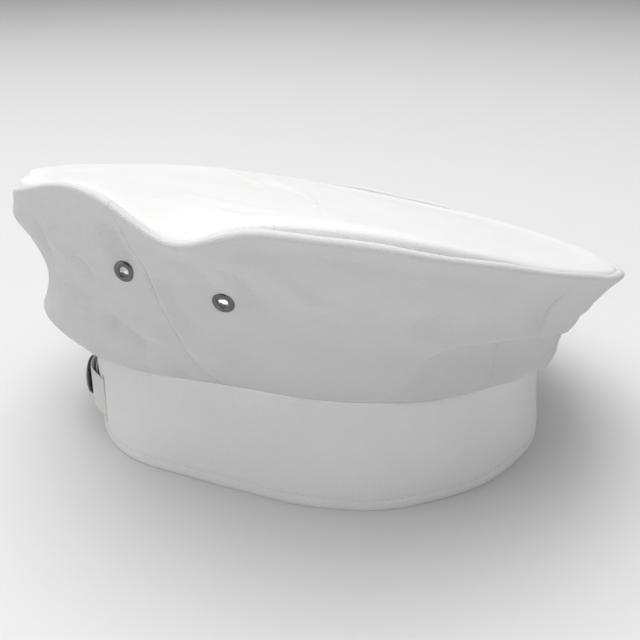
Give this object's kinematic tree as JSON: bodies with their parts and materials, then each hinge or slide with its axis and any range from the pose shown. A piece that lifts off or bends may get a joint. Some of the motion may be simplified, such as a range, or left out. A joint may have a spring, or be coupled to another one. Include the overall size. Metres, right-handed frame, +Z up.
{
  "type": "chef hat",
  "caption": "Low white cotton chef hat with a wide flat round crown, soft headband, vent eyelets and a press-stud closing strap at the back.",
  "frame": {"origin": "on the floor plane, under the middle of the crown's round tip", "axes": "+Z up, -Y towards the wearer's face, +Y towards the closure at the back, +X towards the wearer's left"},
  "size_m": [0.27, 0.27, 0.1463],
  "materials": {
    "crown_cotton": "white fine cotton twill",
    "band_cotton": "white fine cotton twill, firmer",
    "lining_cotton": "plain white bias tape",
    "interlining": "stiff non-woven",
    "strap_tape": "off-white cotton tape",
    "label_satin": "blank satin ribbon",
    "black_cap": "glossy black",
    "nickel": "nickel plate",
    "dark_nickel": "gunmetal plate"
  },
  "bodies": {
    "hat": {"crown_tip": "crown_cotton", "side_panel_back": "crown_cotton", "side_panel_right": "crown_cotton", "side_panel_front": "crown_cotton", "side_panel_left": "crown_cotton", "rim_binding": "lining_cotton", "band_outer": "band_cotton", "band_interlining": "interlining", "band_facing": "band_cotton", "care_label": "label_satin", "slit_stays": "lining_cotton", "snap_strap_root": "strap_tape", "stud_strap": "strap_tape", "snap_studs": "nickel", "snap_posts": "nickel", "eyelets": "dark_nickel", "eyelet_washers": "dark_nickel"},
    "strap": {"snap_strap": "strap_tape", "snap_cap": "black_cap", "snap_socket": "nickel"}
  },
  "joints": [
    {"name": "strap_hinge", "type": "hinge", "parent": "hat", "child": "strap", "pos_m": [-0.02469, 0.09837, 0.022], "axis": [0, 0, 1], "range_deg": [0, 100]}
  ]
}
